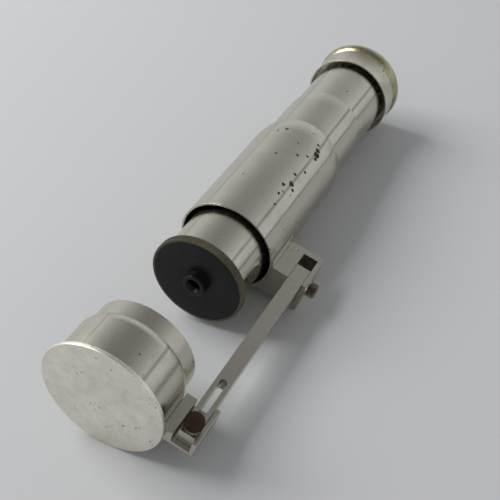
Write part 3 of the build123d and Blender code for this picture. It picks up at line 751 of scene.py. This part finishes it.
class TELESCOPE_OT_foot(bpy.types.Operator):
    """Turn the foot's disc, drum and collar, and file its bracket and screw"""
    bl_idname = "telescope.foot"
    bl_label = "Foot"

    def execute(self, context):
        size, look = shapes(), finishes()
        low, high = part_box("foot_disc")
        centre = Vector(((low.x + high.x) / 2, 0, (low.z + high.z) / 2))
        self.disc(size, look, centre, low, high)
        self.drum(size, look, centre)
        self.bracket(size, look)
        return {"FINISHED"}

    def disc(self, size, look, centre, low, high):
        radius = (high.x - low.x) / 2
        profile = Profile()
        profile.to(0.02 * MM, low.y + 0.04 * MM).to(0.6 * radius, low.y + 0.02 * MM)
        profile.to(radius, low.y, 3 * size.edge).to(radius, high.y, 2 * size.edge)
        profile.to(0.02 * MM, high.y)
        piece = turned_piece("foot_disc_turned", profile, "foot", centre=centre)
        disc_finish(look).give(piece)
        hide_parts("foot_disc")

    def drum(self, size, look, centre):
        low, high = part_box("foot_drum")
        radius = (high.x - low.x) / 2
        collar_low, collar_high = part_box("foot_collar")
        collar_r = (collar_high.x - collar_low.x) / 2
        wall = size.sleeve_wall
        lip = collar_r + wall / 2
        curve = size.drum_curve
        profile = Profile()
        profile.to(radius - wall, low.y).to(radius, low.y).to(radius, high.y - curve)
        profile.shoulder(lip, high.y)
        profile.to(collar_r, high.y, size.edge)
        profile.to(collar_r, high.y - wall).to(radius - wall, high.y - curve - wall)
        drum = turned_piece("foot_drum_turned", profile, "foot", centre=centre)
        # The three bands below are painted reflections: dim lines where the plate would mirror the dark room.
        nickel_finish("drum nickel", look.nickel, look.nickel_dull, look.tarnish,
                      look.polish, look.haze, wear=0.35, seed=91,
                      streaks=((44, 2.4, 0.7), (28, 3.4, 0.6), (104, 2.0, 0.3))).give(drum)
        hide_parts("foot_drum")
        thin = size.collar_wall
        profile = Profile()
        profile.to(collar_r - thin, collar_low.y).to(collar_r, collar_low.y)
        profile.to(collar_r, collar_high.y, size.edge).to(collar_r - thin, collar_high.y, size.edge)
        collar = turned_piece("foot_collar_turned", profile, "foot", centre=centre)
        nickel_finish("collar nickel", look.nickel, look.nickel_dull, look.tarnish,
                      look.polish * 0.9, look.haze, wear=0.3, seed=97).give(collar)
        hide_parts("foot_collar")

    def bracket(self, size, look):
        bracket = filed_piece("foot_bracket_filed", "foot_bracket", "foot", size.filed_edge)
        nut = filed_piece("foot_nut_filed", "foot_nut", "foot", size.filed_edge)
        nickel_finish("bracket nickel", look.nickel, look.nickel_dull, look.tarnish,
                      look.polish * 1.2, look.haze, wear=0.4, seed=103).give(
                          bracket, nut, frame["nodes"]["foot_washer"])
        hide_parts("foot_bracket")
        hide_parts("foot_nut")
        screw = screw_head("foot_screw_turned", "foot_screw", "foot_screw_turn", "foot_screw",
                           size, size.foot_head, 0.3 * MM)
        brass_finish("foot screw brass", look.dark_brass, look.tarnish, 0.38, seed=111).give(screw)


def disc_finish(look):
    """Matt, patchy plate with faint pinkish and grey clouds and pinholes; its pale tone is partly the plate's
    own and partly a painted reflection of the bright table in front of it.
    """
    finish = nickel_finish("disc nickel", look.disc_nickel_and_reflection, look.nickel, look.tarnish,
                           0.36, 0.5, wear=0.25, grain=(1, 1, 1), seed=131)
    plated = finish.shader.inputs["Base Color"].links[0].from_socket
    cloud = finish.ramp(finish.noise(4.5, 4.0, seed=140), 0.45, 0.72)
    finish.link("Base Color", finish.mix(finish.maths("MULTIPLY", cloud, 0.3), plated, (0.56, 0.50, 0.46)))
    return finish


class TELESCOPE_OT_stage(bpy.types.Operator):
    """Set the pale table, the soft lamps and the camera"""
    bl_idname = "telescope.stage"
    bl_label = "Stage"

    def execute(self, context):
        stage = context.scene.telescope_stage
        self.floor(stage)
        self.room(context, stage)
        self.lamp("key lamp", stage.key, stage.key_size, (-0.80, -0.15, 0.72), (-0.02, -0.10, 0))
        self.camera(context, stage)
        context.scene.view_settings.view_transform = "Standard"
        return {"FINISHED"}

    def floor(self, stage):
        """A table top that the foot's disc and the objective ring's bead both rest on."""
        foot_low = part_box("foot_disc")[0]
        ring_low, ring_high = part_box("objective_ring")
        near = Vector((0, foot_low.y, foot_low.z))
        far = Vector((0, ring_high.y - 3.0 * MM, ring_low.z))
        slope = (far.z - near.z) / (far.y - near.y)
        half = 1.6
        corners = [(x, near.y + y, near.z + slope * y - 0.02 * MM)
                   for x, y in ((-half, -half), (half, -half), (half, half), (-half, half))]
        mesh = bpy.data.meshes.new("table")
        mesh.from_pydata(corners, [], [(0, 1, 2, 3)])
        table = bpy.data.objects.new("table", mesh)
        bpy.context.scene.collection.objects.link(table)
        finish = Finish("table paper")
        finish.shader.inputs["Roughness"].default_value = 0.7
        finish.shader.inputs["Specular IOR Level"].default_value = 0.25
        drift = finish.noise(180.0, 2.0)
        finish.link("Base Color", finish.mix(drift, tuple(c * 0.97 for c in stage.floor), stage.floor))
        finish.give(table)

    def room(self, context, stage):
        """Soft room light, paler from the walls than from the ceiling."""
        world = bpy.data.worlds.new("room")
        world.use_nodes = True
        background = world.node_tree.nodes["Background"]
        nodes, links = world.node_tree.nodes, world.node_tree.links
        coords = nodes.new("ShaderNodeTexCoord")
        parts = nodes.new("ShaderNodeSeparateXYZ")
        links.new(coords.outputs["Generated"], parts.inputs[0])
        rise = nodes.new("ShaderNodeMapRange")
        rise.interpolation_type = "SMOOTHSTEP"
        rise.inputs["From Min"].default_value = 0.25
        rise.inputs["From Max"].default_value = 0.95
        links.new(parts.outputs[2], rise.inputs["Value"])
        blend = nodes.new("ShaderNodeMix")
        blend.data_type = "RGBA"
        blend.inputs[6].default_value = (*stage.room, 1)
        blend.inputs[7].default_value = (*stage.overhead, 1)
        links.new(rise.outputs["Result"], blend.inputs[0])
        links.new(blend.outputs[2], background.inputs["Color"])
        context.scene.world = world

    def lamp(self, name, power, side, place, target):
        data = bpy.data.lights.new(name, "AREA")
        data.energy = power
        data.shape = "SQUARE"
        data.size = side
        lamp = bpy.data.objects.new(name, data)
        lamp.location = place
        lamp.rotation_euler = (Vector(target) - Vector(place)).to_track_quat("-Z", "Y").to_euler()
        bpy.context.scene.collection.objects.link(lamp)

    def camera(self, context, stage):
        data = bpy.data.cameras.new("camera")
        data.sensor_width = 36
        data.lens = stage.lens
        data.clip_start = 0.01
        camera = bpy.data.objects.new("camera", data)
        camera.location = stage.camera_place
        camera.rotation_euler = (math.pi / 2 - stage.camera_pitch, 0, stage.camera_yaw)
        context.scene.collection.objects.link(camera)
        context.scene.camera = camera


# ---------------------------------------------------------------- sidebar and registration

class TELESCOPE_PT_sidebar(bpy.types.Panel):
    """Lists the telescope's pieces and their settings"""
    bl_label = "Pocket telescope"
    bl_idname = "TELESCOPE_PT_sidebar"
    bl_space_type = "VIEW_3D"
    bl_region_type = "UI"
    bl_category = "Telescope"

    def draw(self, context):
        layout = self.layout
        for operator in OPERATORS:
            layout.operator(operator.bl_idname)
        for label, group in (("Shapes", context.scene.telescope_shapes),
                             ("Finishes", context.scene.telescope_finishes),
                             ("Stage", context.scene.telescope_stage)):
            box = layout.box()
            box.label(text=label)
            for name in group.__annotations__:
                box.prop(group, name)


OPERATORS = (
    TELESCOPE_OT_sleeve,
    TELESCOPE_OT_main_tube,
    TELESCOPE_OT_objective,
    TELESCOPE_OT_eyepiece,
    TELESCOPE_OT_clevis,
    TELESCOPE_OT_arm,
    TELESCOPE_OT_foot,
    TELESCOPE_OT_stage,
)
CLASSES = (TelescopeShapes, TelescopeFinishes, TelescopeStage, *OPERATORS, TELESCOPE_PT_sidebar)


def register():
    """Makes the settings, operators and panel known."""
    for item in CLASSES:
        bpy.utils.register_class(item)
    bpy.types.Scene.telescope_shapes = PointerProperty(type=TelescopeShapes)
    bpy.types.Scene.telescope_finishes = PointerProperty(type=TelescopeFinishes)
    bpy.types.Scene.telescope_stage = PointerProperty(type=TelescopeStage)


def unregister():
    """Takes them away again."""
    for name in ("telescope_shapes", "telescope_finishes", "telescope_stage"):
        delattr(bpy.types.Scene, name)
    for item in reversed(CLASSES):
        bpy.utils.unregister_class(item)


def main():
    """Builds every piece and the stage."""
    register()
    for operator in OPERATORS:
        group, name = operator.bl_idname.split(".")
        getattr(getattr(bpy.ops, group), name)()


if __name__ == "__main__":
    main()
